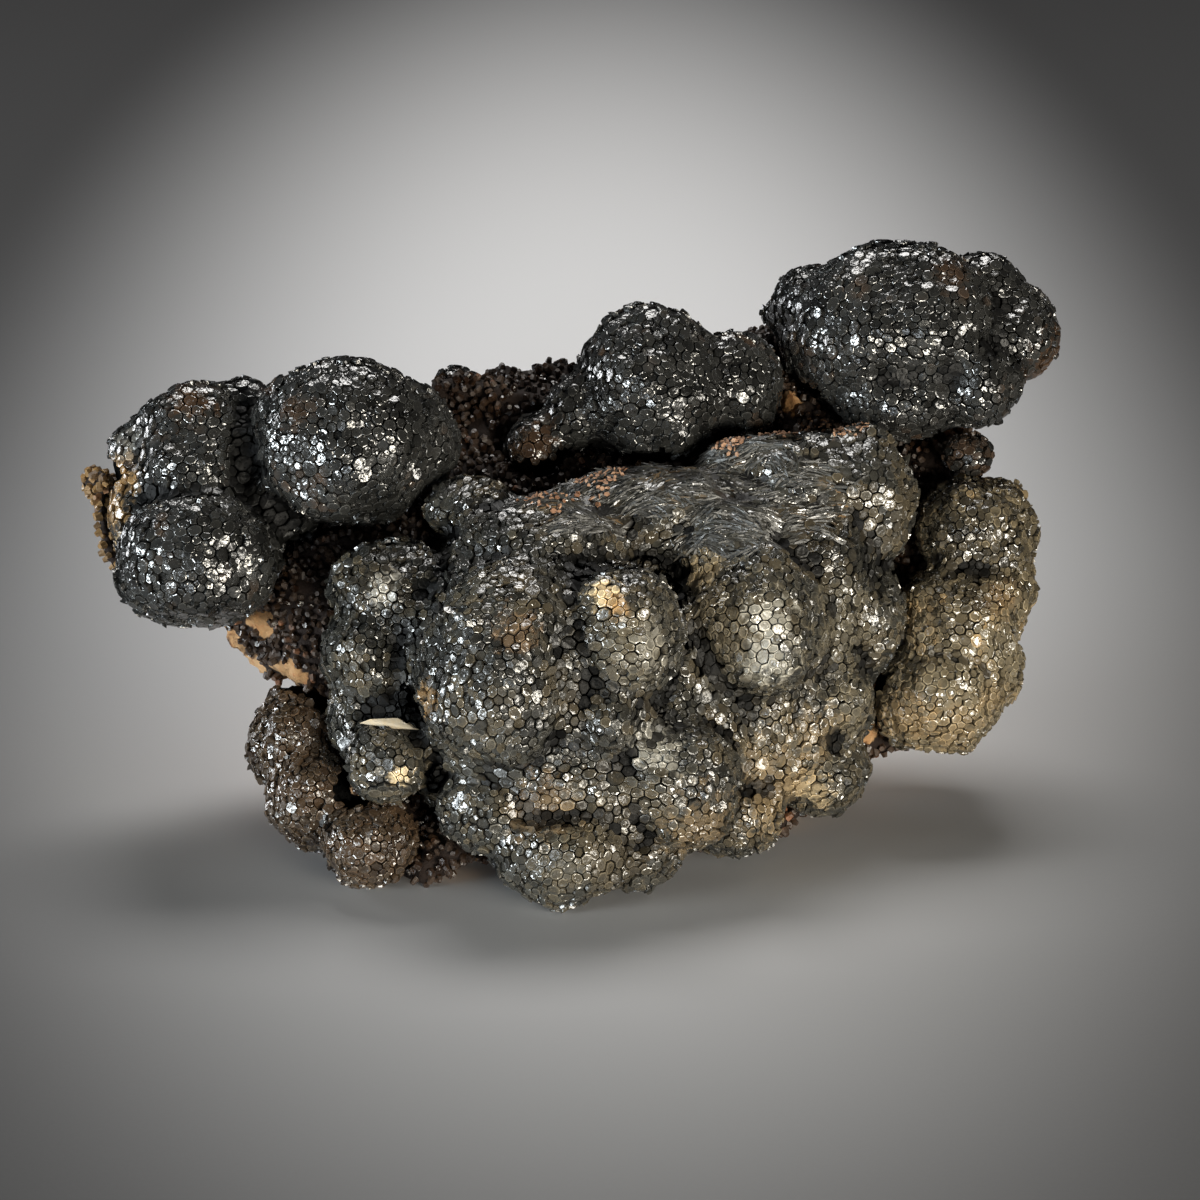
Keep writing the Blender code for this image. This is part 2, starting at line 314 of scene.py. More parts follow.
def limonite():
    """The rock: tan, ochre and dark brown in clouds, with rust and stains, and darker under the druse."""
    material, tree, surface, place = new_material("limonite")
    druse = tree.attribute("druse")
    cloud = tree.noise(place, 7.0 * MM, detail=4.0, distortion=0.6)
    broad = tree.noise(place + (0.03, 0.0, 0.0), 11.0 * MM, detail=5.0, roughness=0.6, distortion=1.0)
    grain = tree.noise(place, 0.9 * MM, detail=5.0, roughness=0.65)
    colour = tree.mix(tree.step(cloud, 0.38, 0.62), OCHRE, TAN)
    colour = tree.mix(tree.step(broad, 0.5, 0.62) * 0.8, colour, UMBER)
    colour = tree.mix(tree.step(grain, 0.5, 0.72) * 0.8, colour, RUST)
    stains = tree.noise(place, 1.8 * MM, detail=5.0, roughness=0.6)
    colour = tree.mix(tree.step(stains, 0.53, 0.66), colour, UMBER)
    colour = tree.mix(tree.step(druse + grain * 0.5 - 0.25, 0.3, 0.7), colour, LIVER)
    tree.feed(surface.inputs["Base Color"], colour)
    tree.feed(surface.inputs["Roughness"], 0.75 + grain * 0.2)
    tree.feed(surface.inputs["Normal"], tree.bump(grain, 0.3 * MM))
    return material


def druse_crystal(spots):
    """The small brown crystals on the rock, golden in spots."""
    material, tree, surface, place = new_material("brown_druse")
    tint = tree.attribute("tint")
    cloud = tree.noise(place, 3.0 * MM, detail=3.0)
    colour = tree.mix(tint * 0.5 + tree.step(cloud, 0.35, 0.65) * 0.5, LIVER, UMBER)
    colour = tree.mix(tree.step(cloud + tint * 0.3, 0.82, 0.95) * 0.6, colour, RUST)
    ripple = (cloud - 0.5) * 1.2 + (tint - 0.5) * 0.8
    for centre, reach, spot_colour, share in spots:
        colour = tree.mix(patch(tree, place, ripple, centre, reach) * share, colour, spot_colour)
    tree.feed(surface.inputs["Base Color"], colour)
    tree.feed(surface.inputs["Roughness"], 0.2 + tint * 0.5)
    surface.inputs["IOR"].default_value = DRUSE_INDEX
    fine = tree.noise(place, 0.15 * MM)
    facing = tree.facets(place, 0.25 * MM, 0.3)
    tree.feed(surface.inputs["Normal"], tree.bump(fine, 0.01 * MM, facing))
    return material


def rusty_flake():
    """The loose orange flakes in the seams."""
    material, tree, surface, place = new_material("rusty_flakes")
    tint = tree.attribute("tint")
    grain = tree.noise(place, 0.4 * MM, detail=3.0)
    colour = tree.mix(tint, CINNAMON, PEACH)
    colour = tree.mix(tree.step(grain, 0.55, 0.75), colour, UMBER)
    tree.feed(surface.inputs["Base Color"], colour)
    tree.feed(surface.inputs["Roughness"], 0.5 + grain * 0.3)
    tree.feed(surface.inputs["Normal"], tree.bump(grain, 0.05 * MM))
    return material


def pale_splinter():
    """The chalky splinter on the front cluster."""
    material, tree, surface, place = new_material("pale_splinter")
    grain = tree.noise(place, 0.4 * MM, detail=3.0)
    tree.feed(surface.inputs["Base Color"], tree.mix(grain, BONE, CREAM))
    tree.feed(surface.inputs["Roughness"], 0.45 + grain * 0.3)
    tree.feed(surface.inputs["Normal"], tree.bump(grain, 0.05 * MM))
    return material


def card_with_painted_light_pool():
    """The pale card that the specimen stands on, with a painted pool of light that falls off darker towards
    its edges.
    """
    material, tree, surface, place = new_material("card_with_painted_light_pool")
    behind = tree.node("ShaderNodeVectorMath", {"operation": "MAXIMUM"}, {
        0: (place - LIGHT_POOL_MIDDLE) / LIGHT_POOL_BEHIND, 1: (-9.0, 0.0, -9.0)})
    before = tree.node("ShaderNodeVectorMath", {"operation": "MINIMUM"}, {
        0: (place - LIGHT_POOL_MIDDLE) / LIGHT_POOL_BEFORE, 1: (0.0, 0.0, 0.0)})
    oval = behind + before * (0.0, 1.0, 0.0)
    away = tree.node("ShaderNodeVectorMath", {"operation": "LENGTH"}, {0: oval}, output="Value")
    fibre = tree.noise(place, 0.4 * MM, detail=3.0)
    # Painted light: a pale pool behind the specimen that falls off to near black at the card's edges.
    colour = tree.mix(tree.step(away, 0.2, 1.1), LIGHT_POOL_COLOUR, PAINTED_FALLOFF_COLOUR)
    tree.feed(surface.inputs["Base Color"], colour)
    tree.feed(surface.inputs["Roughness"], 0.6 + fibre * 0.1)
    return material


def linked_object(name, mesh):
    made = bpy.data.objects.new(name, mesh)
    bpy.context.scene.collection.objects.link(made)
    return made


def evaluated_mesh(source):
    """The plain mesh that an object's modifiers give."""
    graph = bpy.context.evaluated_depsgraph_get()
    return bpy.data.meshes.new_from_object(
        source.evaluated_get(graph), preserve_all_data_layers=True, depsgraph=graph)


def merged_copy(node):
    """A CAD node's mesh with its triangles joined."""
    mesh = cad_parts[node].data.copy()
    work = bmesh.new()
    work.from_mesh(mesh)
    bmesh.ops.remove_doubles(work, verts=work.verts, dist=WELD)
    work.to_mesh(mesh)
    work.free()
    mesh.materials.clear()
    return mesh


def with_modifiers(mesh, name, modifiers):
    """The mesh after these modifiers, each a type and its settings."""
    source = linked_object(name, mesh)
    for kind, settings in modifiers:
        modifier = source.modifiers.new(kind, kind)
        for key, value in settings.items():
            setattr(modifier, key, value)
    made = evaluated_mesh(source)
    bpy.data.objects.remove(source)
    return made


def places(mesh):
    """The mesh's points, one row each."""
    flat = np.empty(len(mesh.vertices) * 3)
    mesh.vertices.foreach_get("co", flat)
    return flat.reshape(-1, 3)


def set_places(mesh, points):
    mesh.vertices.foreach_set("co", points.ravel())
    mesh.update()


def normals(mesh):
    flat = np.empty(len(mesh.vertices) * 3)
    mesh.vertex_normals.foreach_get("vector", flat)
    return flat.reshape(-1, 3)


def smoothstep(value, low, high):
    share = np.clip((value - low) / (high - low), 0.0, 1.0)
    return share * share * (3.0 - 2.0 * share)


def noise_at(points, size, seed, octaves=1):
    """Noise from about -1 to 1 at each point, with waves of this size."""
    shift = Vector((seed * 7.31, seed * 3.17, seed * 5.77))
    return np.array([noise.fractal(Vector(point) / size + shift, 0.9, 2.1, octaves) for point in points])


def tree_of(mesh):
    """What finds the nearest point of a mesh."""
    return BVHTree.FromPolygons([v.co for v in mesh.vertices], [p.vertices for p in mesh.polygons])


def distance_to(tree, points):
    return np.array([tree.find_nearest(Vector(point))[3] for point in points])


def set_attribute(mesh, name, values):
    layer = mesh.attributes.new(name, "FLOAT", "POINT")
    layer.data.foreach_set("value", np.asarray(values, np.float32))


def fine_skin(node, step):
    """A node's surface in fine faces."""
    remesh = ("REMESH", {"mode": "VOXEL", "voxel_size": step})
    return with_modifiers(merged_copy(node), node + "_skin", [remesh])


def edge_ends(mesh):
    """The two point numbers of each edge, one row each."""
    flat = np.empty(len(mesh.edges) * 2, np.int32)
    mesh.edges.foreach_get("vertices", flat)
    return flat.reshape(-1, 2)


def blurred(points, ends, passes, share=0.5):
    """The points drawn towards their neighbours' middle, this many times."""
    count = np.bincount(ends.ravel(), minlength=len(points))[:, None]
    for _ in range(passes):
        total = np.stack([np.bincount(ends[:, 0], points[ends[:, 1], axis], len(points)) +
                          np.bincount(ends[:, 1], points[ends[:, 0], axis], len(points))
                          for axis in range(3)], axis=1)
        points = (1 - share) * points + share * total / count
    return points


def passes_for(reach, step):
    """How many times to blur so that forms of this size go, on faces of this size."""
    return max(1, round(4 * (reach / step) ** 2))


def round_off(mesh, step, reach):
    """Takes the facets off a surface."""
    set_places(mesh, blurred(places(mesh), edge_ends(mesh), passes_for(reach, step)))


def bulge_of(mesh, step, reach):
    """How far each point stands out of its surroundings: less than nothing in a crease."""
    points = places(mesh)
    middle = blurred(points, edge_ends(mesh), passes_for(reach, step))
    return ((points - middle) * normals(mesh)).sum(axis=1)


def shape_creases(mesh, step, creases):
    """Fills the valleys between lobes or draws them in, and rounds the lobes a little."""
    for reach, gain in creases:
        bulge = bulge_of(mesh, step, reach)
        push = bulge * np.where(bulge < 0, gain, LOBE_GAIN)
        set_places(mesh, places(mesh) + normals(mesh) * push[:, None])


def edge_length(mesh):
    """The mean length of the mesh's edges."""
    ends = places(mesh)[edge_ends(mesh)]
    return np.linalg.norm(ends[:, 0] - ends[:, 1], axis=1).mean()


def seen_at(surfaces, right, up):
    """What the camera sees this far to the right and up in the picture, in millimetres at the aim's distance.

    Beside an outline, it is the nearest point of the surfaces.
    """
    target = AIM + Vector((right, up * math.sin(VIEW_TILT), up * math.cos(VIEW_TILT))) * MM
    ray = (target - EYE).normalized()
    hits = [surface.ray_cast(EYE, ray) for surface in surfaces]
    hits = [hit for hit in hits if hit[0]] or [surface.find_nearest(target) for surface in surfaces]
    return min(hits, key=lambda hit: hit[3])[0]


def billow(points, size, seed, octaves=2):
    """Round lumps this far apart with creases between them, from 0 to about 1."""
    return np.abs(noise_at(points, size, seed, octaves)) ** 0.8


def even_triangles(skin, cells):
    """The skin in about this many evenly spread points, joined by triangles."""
    ratio = 2.0 * cells / sum(len(face.vertices) - 2 for face in skin.polygons)
    decimate = ("DECIMATE", {"ratio": ratio, "use_collapse_triangulate": True})
    rough = skin.copy()
    chance = np.random.default_rng(cells).uniform(-JITTER, JITTER, len(skin.vertices))
    set_places(rough, places(skin) + normals(skin) * chance[:, None])
    mesh = with_modifiers(rough, "even", [decimate])
    surface = tree_of(skin)
    points = places(mesh)
    for _ in range(EVEN_PASSES):
        points = blurred(points, edge_ends(mesh), 1)
        points = np.array([surface.find_nearest(Vector(point))[0] for point in points])
    set_places(mesh, points)
    return mesh


def geometry_group(name, inputs):
    """An empty geometry tree with named inputs, and what each input gives."""
    group = bpy.data.node_groups.new(name, "GeometryNodeTree")
    group.interface.new_socket(name="Geometry", in_out="INPUT", socket_type="NodeSocketGeometry")
    group.interface.new_socket(name="Geometry", in_out="OUTPUT", socket_type="NodeSocketGeometry")
    for label, kind in inputs.items():
        group.interface.new_socket(name=label, in_out="INPUT", socket_type="NodeSocket" + kind)
    tree = Tree(group)
    entry = tree.node("NodeGroupInput")
    return group, tree, {label: entry.other(label) for label in ("Geometry", *inputs)}


def finish_group(tree, geometry, material):
    """Ends a geometry tree: instances made real, flat faces, and the material."""
    real = tree.node("GeometryNodeRealizeInstances", {}, {"Geometry": geometry})
    flat = tree.node("GeometryNodeSetShadeSmooth", {}, {"Geometry": real, "Shade Smooth": False})
    done = tree.node("GeometryNodeSetMaterial", {}, {"Geometry": flat, "Material": material})
    tree.tree.links.new(done.socket, tree.tree.nodes.new("NodeGroupOutput").inputs[0])


def random_value(tree, kind, low, high, seed):
    return tree.node("FunctionNodeRandomValue", {"data_type": kind}, {"Min": low, "Max": high, "Seed": seed})


def named(tree, name):
    return tree.node("GeometryNodeInputNamedAttribute", {"data_type": "FLOAT"}, {"Name": name})


def dot(tree, first, second):
    vectors = {0: first, 1: second}
    return tree.node("ShaderNodeVectorMath", {"operation": "DOT_PRODUCT"}, vectors, output="Value")


def store(tree, geometry, name, domain, value, selection=True):
    settings = {"data_type": "FLOAT", "domain": domain}
    values = {"Geometry": geometry, "Selection": selection, "Name": name, "Value": value}
    return tree.node("GeometryNodeStoreNamedAttribute", settings, values)


def maths(tree, operation, first, second=0.0):
    return tree.node("ShaderNodeMath", {"operation": operation}, {0: first, 1: second})


def raised_ring(tree, geometry, selection, position):
    """A new ring of faces inside the chosen ones.

    Returns the geometry, what chooses the inner faces, and what chooses the ring.
    """
    extruded = tree.node("GeometryNodeExtrudeMesh", {"mode": "FACES"},
                         {"Mesh": geometry, "Selection": selection, "Offset Scale": 0.0, "Individual": False})
    top = extruded.other("Top")
    moved = tree.node("GeometryNodeSetPosition", {},
                      {"Geometry": extruded, "Selection": top, "Position": position})
    return moved, top, extruded.other("Side")


def crust_group():
    """Turns even triangles into a closed crust of plates, one plate for each corner of the triangles.

    Each plate keeps its outline at the bottom of the grooves, where it meets its neighbours. Its top is drawn
    in, lifted and leaned; a bevel and, on some plates, a hollow follow.
    """
    group, tree, given = geometry_group("crystal_crust", {
        "Detail": "Int", "Height": "Float", "Unevenness": "Float", "Lean": "Float", "Outline": "Float",
        "Outline Spread": "Float", "Corner Rounding": "Float", "Bevel": "Float", "Bevel Height": "Float",
        "Bevel Share": "Float", "Hollow Share": "Float", "Root": "Float", "Seed": "Int",
        "Material": "Material"})
    position = tree.node("GeometryNodeInputPosition")
    normal = tree.node("GeometryNodeInputNormal")
    seed = given["Seed"]
    cells = tree.node("GeometryNodeDualMesh", {}, {"Mesh": given["Geometry"]})
    at_points = tree.node("GeometryNodeCaptureAttribute",
                          {"domain": "POINT", "captures": [("VECTOR", "outward")]},
                          {"Geometry": cells, "outward": normal})
    outward = at_points.other("outward")
    hollow = random_value(tree, "FLOAT", 0.0, 1.0, seed + 2)
    steep = 1 + tree.step(hollow, 0.86, 0.92) * 1.8
    chance = random_value(tree, "FLOAT_VECTOR", (-1.0, -1.0, -1.0), (1.0, 1.0, 1.0), seed)
    lean = chance * (steep * given["Lean"])
    lift = random_value(tree, "FLOAT", -1.0, 1.0, seed + 1) * given["Unevenness"] + given["Height"]
    width = random_value(tree, "FLOAT", -1.0, 1.0, seed + 4) * given["Outline Spread"] + given["Outline"]
    captures = [("VECTOR", "centre"), ("VECTOR", "facing"), ("VECTOR", "lean"), ("FLOAT", "lift"),
                ("FLOAT", "hollow"), ("FLOAT", "width"), ("FLOAT", "crust")]
    at_faces = tree.node("GeometryNodeCaptureAttribute", {"domain": "FACE", "captures": captures},
                         {"Geometry": at_points, "centre": position, "facing": normal, "lean": lean,
                          "lift": lift, "hollow": hollow, "width": width,
                          "crust": named(tree, "crust")})
    centre, facing, lean, lift, hollow, width, crust = (at_faces.other(label) for _, label in captures)
    tinted = store(tree, at_faces, "tint", "FACE", random_value(tree, "FLOAT", 0.0, 1.0, seed + 3))
    deep = store(tree, tinted, "depth", "POINT", 1 - named(tree, "ledge"))
    apart = tree.node("GeometryNodeSplitEdges", {}, {"Mesh": deep})
    fine = tree.node("GeometryNodeSubdivideMesh", {}, {"Mesh": apart, "Level": given["Detail"]})
    neighbours = tree.node("GeometryNodeInputMeshVertexNeighbors", output="Vertex Count")
    at_corners = {"domain": "POINT", "captures": [("FLOAT", "corner")]}
    cornered = tree.node("GeometryNodeCaptureAttribute", at_corners,
                         {"Geometry": fine, "corner": maths(tree, "LESS_THAN", neighbours, 2.5)})
    corner = cornered.other("corner")

    top_centre = centre + facing * lift
    across = position - centre
    drawn_in = width * (1 - corner * given["Corner Rounding"])
    outline = top_centre + across * drawn_in + facing * dot(tree, across, lean)
    plates, top, _ = raised_ring(tree, cornered, crust, outline)
    # The tops get depth 0; the material paints the walls below them in shade.
    plates = store(tree, plates, "depth", "POINT", 0.0, top)
    edged = maths(tree, "LESS_THAN", hollow, given["Bevel Share"])
    bevelled = position + (top_centre - position) * given["Bevel"] + facing * given["Bevel Height"]
    plates, top, rim = raised_ring(tree, plates, maths(tree, "MULTIPLY", top, edged), bevelled)
    # The bevel ring is marked as the rim, which the material paints paler as a highlight.
    plates = store(tree, plates, "rim", "FACE", 1.0, rim)
    hollowed = maths(tree, "MULTIPLY", top, maths(tree, "LESS_THAN", hollow, given["Hollow Share"]))
    sunk = position + (top_centre - position) * 0.45 - facing * given["Bevel Height"] * 1.4
    plates, _, _ = raised_ring(tree, plates, hollowed, sunk)

    bottom = maths(tree, "GREATER_THAN", named(tree, "depth"), 0.5)
    rooted = tree.node("GeometryNodeSetPosition", {}, {"Geometry": plates, "Selection": bottom,
                                                       "Offset": outward * given["Root"] * -1.0})
    welded = tree.node("GeometryNodeMergeByDistance", {}, {"Geometry": rooted, "Distance": WELD})
    finish_group(tree, welded, given["Material"])
    return group


def strand(tree):
    """A thin bent strand, pointed at both ends, one long and one wide, along X."""
    bow = tree.node("GeometryNodeCurveQuadraticBezier", {}, {
        "Resolution": 5, "Start": (-0.5, 0.0, -0.8), "Middle": (0.0, 1.6, 0.8), "End": (0.5, 0.0, -0.8)})
    along = tree.node("GeometryNodeSplineParameter", output="Factor")
    taper = maths(tree, "SINE", along * math.pi) * 0.5 + 0.06
    tapered = tree.node("GeometryNodeSetCurveRadius", {}, {"Curve": bow, "Radius": taper})
    ring = tree.node("GeometryNodeCurvePrimitiveCircle", {}, {"Resolution": 3, "Radius": 1.0})
    swept = {"Curve": tapered, "Profile Curve": ring, "Fill Caps": True}
    return tree.node("GeometryNodeCurveToMesh", {}, swept)


def stub(tree):
    """A stubby six-sided crystal, one high and two wide, narrower at its end."""
    return tree.node("GeometryNodeMeshCone", {"fill_type": "NGON"}, {
        "Vertices": 6, "Radius Top": 0.62, "Radius Bottom": 1.0, "Depth": 1.0})


def chip(tree):
    """A five-sided flake, one high and two wide."""
    return tree.node("GeometryNodeMeshCone", {"fill_type": "NGON"}, {
        "Vertices": 5, "Radius Top": 0.8, "Radius Bottom": 0.9, "Depth": 1.0})


def scatter_group(name, shape):
    """Sets a shape on a surface at evenly spaced points, as its "share" attribute allows."""
    group, tree, given = geometry_group(name, {
        "Spacing": "Float", "Length Low": "Float", "Length High": "Float", "Width": "Float",
        "Thickness": "Float", "Lift": "Float", "Lean": "Float", "Flow": "Vector", "Swirl": "Float",
        "Straying": "Float", "Seed": "Int", "Material": "Material"})
    seed = given["Seed"]
    spread = tree.node("GeometryNodeDistributePointsOnFaces", {"distribute_method": "POISSON"}, {
        "Mesh": given["Geometry"], "Distance Min": given["Spacing"],
        "Density Max": maths(tree, "DIVIDE", 1.1, given["Spacing"] * given["Spacing"]),
        "Density Factor": named(tree, "share"), "Seed": seed})
    outward = spread.other("Normal")
    raised = tree.node("GeometryNodeSetPosition", {}, {"Geometry": spread, "Offset": outward * given["Lift"]})
    low, high = (-1.0, -1.0, -1.0), (1.0, 1.0, 1.0)
    facing = outward + random_value(tree, "FLOAT_VECTOR", low, high, seed + 1) * given["Lean"]
    cloud = tree.node("ShaderNodeTexNoise", {}, {
        "Vector": tree.node("GeometryNodeInputPosition"), "Scale": 1 / (4.0 * MM), "Detail": 1.0},
        output="Color")
    stray = random_value(tree, "FLOAT_VECTOR", low, high, seed + 2) * given["Straying"]
    flow = given["Flow"] + (cloud - (0.5, 0.5, 0.5)) * given["Swirl"] + stray
    upright = tree.node("FunctionNodeAlignRotationToVector", {"axis": "Z"}, {"Vector": facing})
    turned = tree.node("FunctionNodeAlignRotationToVector", {"axis": "X", "pivot_axis": "Z"},
                       {"Rotation": upright, "Vector": flow})
    length = random_value(tree, "FLOAT", given["Length Low"], given["Length High"], seed + 3)
    breadth = random_value(tree, "FLOAT", 0.7, 1.3, seed + 4)
    scale = tree.node("ShaderNodeCombineXYZ", {}, {
        "X": length, "Y": given["Width"] * breadth, "Z": given["Thickness"] * breadth})
    copies = tree.node("GeometryNodeInstanceOnPoints", {}, {
        "Points": raised, "Instance": shape(tree), "Rotation": turned, "Scale": scale})
    tinted = store(tree, copies, "tint", "INSTANCE", random_value(tree, "FLOAT", 0.0, 1.0, seed + 5))
    finish_group(tree, tinted, given["Material"])
    return group


def grown(name, mesh, group, values):
    """The plain mesh that a geometry tree makes from a mesh, as an object at the origin."""
    source = linked_object(name, mesh)
    modifier = source.modifiers.new(name, "NODES")
    modifier.node_group = group
    labels = {item.name: item.identifier for item in group.interface.items_tree if item.in_out == "INPUT"}
    for label, value in values.items():
        modifier[labels[label]] = value
    made = evaluated_mesh(source)
    source.modifiers.remove(modifier)
    source.data = made
    return source


def fit_inside(piece):
    """Holds a piece's points inside the CAD box, so that it stands flat and no tip reaches past it."""
    low, high = (np.array(corner) for corner in cad_box)
    set_places(piece.data, np.clip(places(piece.data), low, high))


def hand_over(piece, node=None):
    """Says what a finished piece rides on and which CAD node it replaces, if any."""
    fit_inside(piece)
    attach(piece, BODY)
    if node:
        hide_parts(node)


rock_tree = tree_of(merged_copy("rock"))
crust = crust_group()
grains = scatter_group("grains", stub)
flakes = scatter_group("flakes", chip)
strands = scatter_group("strands", strand)

BIG = {"Detail": 1, "Height": 0.1 * MM, "Unevenness": 0.22 * MM, "Lean": 0.17, "Outline": 0.93,
       "Outline Spread": 0.08, "Corner Rounding": 0.05, "Bevel": 0.15, "Bevel Height": 0.03 * MM,
       "Bevel Share": 0.8, "Hollow Share": 0.06, "Root": 0.4 * MM}
SMALL = {"Detail": 0, "Height": 0.06 * MM, "Unevenness": 0.2 * MM, "Lean": 0.23, "Outline": 0.89,
         "Outline Spread": 0.1, "Corner Rounding": 0.0, "Bevel": 0.22, "Bevel Height": 0.03 * MM,
         "Bevel Share": 0.7, "Hollow Share": 0.2, "Root": 0.3 * MM}

# Spots of another colour, some of them painted shade or painted light: where the camera sees them, how far
# they reach, their colour and its share.
LEFT_SPOTS = [
    ((-40.8, 10.7), 2.6, GOLD, 0.8), ((-41.4, 7.4), 2.6, GOLD, 0.7), ((-40.6, 4.1), 2.0, CREAM, 0.4),
    ((-38.6, 12.6), 2.2, BONE, 0.3), ((-33.8, 16.5), 2.4, UMBER, 0.9), ((-25.4, 15.6), 1.8, UMBER, 0.6),
]
MIDDLE_SPOTS = [((-5.7, 12.4), 3.0, UMBER, 0.8), ((6.6, 11.5), 1.6, RUST, 0.3)]
RIGHT_SPOTS = [((37.0, 19.6), 3.4, UMBER, 0.9), ((29.0, 27.0), 2.0, UMBER, 0.6)]
COLUMN_SPOTS = [
    # Painted light: two paler spots on the column's lower and right part.
    ((28.0, -9.0), 8.0, PAINTED_LIGHT, 0.45), ((34.0, -4.0), 5.0, PAINTED_LIGHT, 0.35),
    ((25.4, -9.9), 3.6, HONEY, 0.5), ((28.9, -10.8), 3.4, HONEY, 0.4), ((32.4, -8.0), 2.4, HONEY, 0.3),
    # The last spot is painted shade, on the column's top below the right cluster.
    ((33.0, 0.0), 2.4, GOLD, 0.3), ((30.5, 5.0), 6.0, PAINTED_SHADE, 0.6),
]
FRONT_SPOTS = [
    # Painted shade: dark spots on the left side, below the left cluster, and near the upper right.
    ((-11.0, 6.0), 8.0, PAINTED_SHADE, 0.85), ((-18.0, 2.0), 7.0, PAINTED_SHADE, 0.8), ((-14.0, -5.0), 6.0, PAINTED_SHADE, 0.7),
    ((-8.0, -5.0), 6.0, PAINTED_SHADE, 0.5), ((18.5, 5.5), 5.0, PAINTED_SHADE, 0.45), ((1.0, -19.0), 7.0, OLIVE, 0.5),
    # Painted light: paler spots, most on the right, as if lit more from that side.
    ((2.6, -3.4), 5.0, PAINTED_LIGHT, 0.3), ((12.0, -3.0), 6.5, PAINTED_LIGHT, 0.4), ((19.5, -3.0), 5.5, PAINTED_LIGHT, 0.35),
    ((15.5, -14.5), 7.5, PAINTED_LIGHT, 0.35), ((-2.0, -20.0), 5.0, PAINTED_LIGHT, 0.15), ((20.5, -9.5), 4.0, PAINTED_LIGHT, 0.4),
    ((0.4, 0.6), 1.9, CREAM, 1.0), ((1.3, -0.6), 1.2, GOLD, 0.9), ((-17.8, 1.0), 1.7, BONE, 0.6),
    ((-16.4, -14.5), 1.0, CREAM, 0.9), ((-14.2, -8.1), 1.6, GOLD, 0.7), ((-11.1, -20.9), 1.3, CREAM, 0.9),
    ((4.7, -12.3), 2.6, CHALK, 0.8), ((17.3, -15.7), 2.4, CREAM, 0.5), ((14.0, -1.6), 2.4, CHALK, 0.85),
    ((14.0, -4.6), 2.6, CHALK, 0.85), ((8.6, 2.4), 2.4, CREAM, 0.4), ((-6.8, -2.6), 2.2, TAN, 0.2),
    ((4.2, -3.8), 2.6, CHALK, 0.4), ((14.4, -15.3), 5.0, HONEY, 0.45), ((8.4, -19.0), 4.0, HONEY, 0.35),
    ((18.2, -11.0), 3.0, HONEY, 0.3), ((-4.6, -17.4), 3.4, GOLD, 0.25), ((10.6, 8.4), 3.0, UMBER, 0.5),
]

CRUSTS = [
    # node, cells, plates, darkest, lightest, stain, where the stain starts, gloss, spots, slot
    ("left_cluster", 2700, BIG, CHARCOAL, SLATE, UMBER, 0.8, 0.13, LEFT_SPOTS, "pyromorphite_black"),
    ("middle_cluster", 1350, BIG, CHARCOAL, SLATE, UMBER, 0.76, 0.13, MIDDLE_SPOTS, "pyromorphite_black"),
    ("right_cluster", 2100, BIG, CHARCOAL, SLATE, UMBER, 0.78, 0.13, RIGHT_SPOTS, "pyromorphite_black"),
    ("small_right_nodule", 110, BIG, CHARCOAL, SLATE, UMBER, 0.6, 0.13, [], "pyromorphite_black"),
    ("rear_nodule", 140, BIG, CHARCOAL, SLATE, UMBER, 0.6, 0.13, [], "pyromorphite_olive"),
    ("right_column", 2200, SMALL, DARK_OLIVE, PALE_OLIVE, HONEY, 0.72, 0.16, COLUMN_SPOTS,
     "pyromorphite_olive"),
    ("lower_left_cluster", 1500, SMALL, LIVER, BARK, UMBER, 0.6, 0.2, [], "pyromorphite_olive"),
    ("front_cluster", 9300, SMALL, SOOT, STONE, OLIVE, 0.64, 0.2, FRONT_SPOTS, "pyromorphite_grey"),
]

# The front cluster's flat top, as seen in the picture: its middle and its reach.
LEDGE_MIDDLE = (7.2, 8.7)
LEDGE_REACH = (14.2, 5.2)

# Where the front cluster turns to small lumps, as how much further right than up that is in the picture.
LUMPS_START = 15.0
LUMPS_FULL = 25.0

# Where the rock is bare, as the camera sees it, and how far.
BARE_PLACES = [
    ((-32.4, -2.2), 1.9), ((-30.4, -3.8), 2.0), ((-28.6, -5.6), 1.9), ((-27.0, -7.2), 1.6),
    ((12.8, 22.7), 2.0), ((23.9, -12.6), 1.6),
]
DRUSE_SPOTS = [
    ((-41.6, 9.0), 4.4, GOLD, 0.9), ((-41.0, 3.4), 4.4, GOLD, 0.85), ((-38.0, -1.0), 3.0, GOLD, 0.5),
    ((-19.0, -22.6), 3.0, RUST, 0.4), ((-11.0, -22.4), 2.6, RUST, 0.5),
]
# The druse grows on rock that faces this way, more so right of one span of X and on the rim left of another.
OPEN_SIDE = Vector((0.2, -0.8, 0.55)).normalized()
GROWN_OVER = (-31 * MM, -27 * MM)
LEFT_RIM = (35.5 * MM, 37.5 * MM)

# Where loose flakes have gathered in the seams, as the camera sees them.
SEAMS = [
    (0.6, 10.2), (-0.6, 9.7), (-4.6, 8.4), (3.3, 11.1), (7.0, 12.4), (8.6, 12.5), (10.9, 13.0), (12.2, 13.4),
    (17.8, 13.9), (20.3, 14.0), (14.6, 13.6),
]

# The pale splinter: where the camera sees it, and its corners in millimetres, from its left tip to its right.
SPLINTER_PLACE = (-17.2, -10.5)
SPLINTER_LIFT = 0.25
SPLINTER_GIRTH = 1.5
SPLINTER_SLOPE = 0.1
SPLINTER_CORNERS = [
    (-2.6, 0.0, 0.0), (-1.9, 0.3, 0.1), (-1.7, -0.2, 0.4), (-0.4, 0.42, 0.35), (0.2, -0.35, 0.1),
    (0.5, 0.1, 0.55), (1.6, 0.3, 0.3), (1.9, -0.25, 0.2), (2.7, 0.05, 0.1), (0.3, 0.2, -0.2),
]


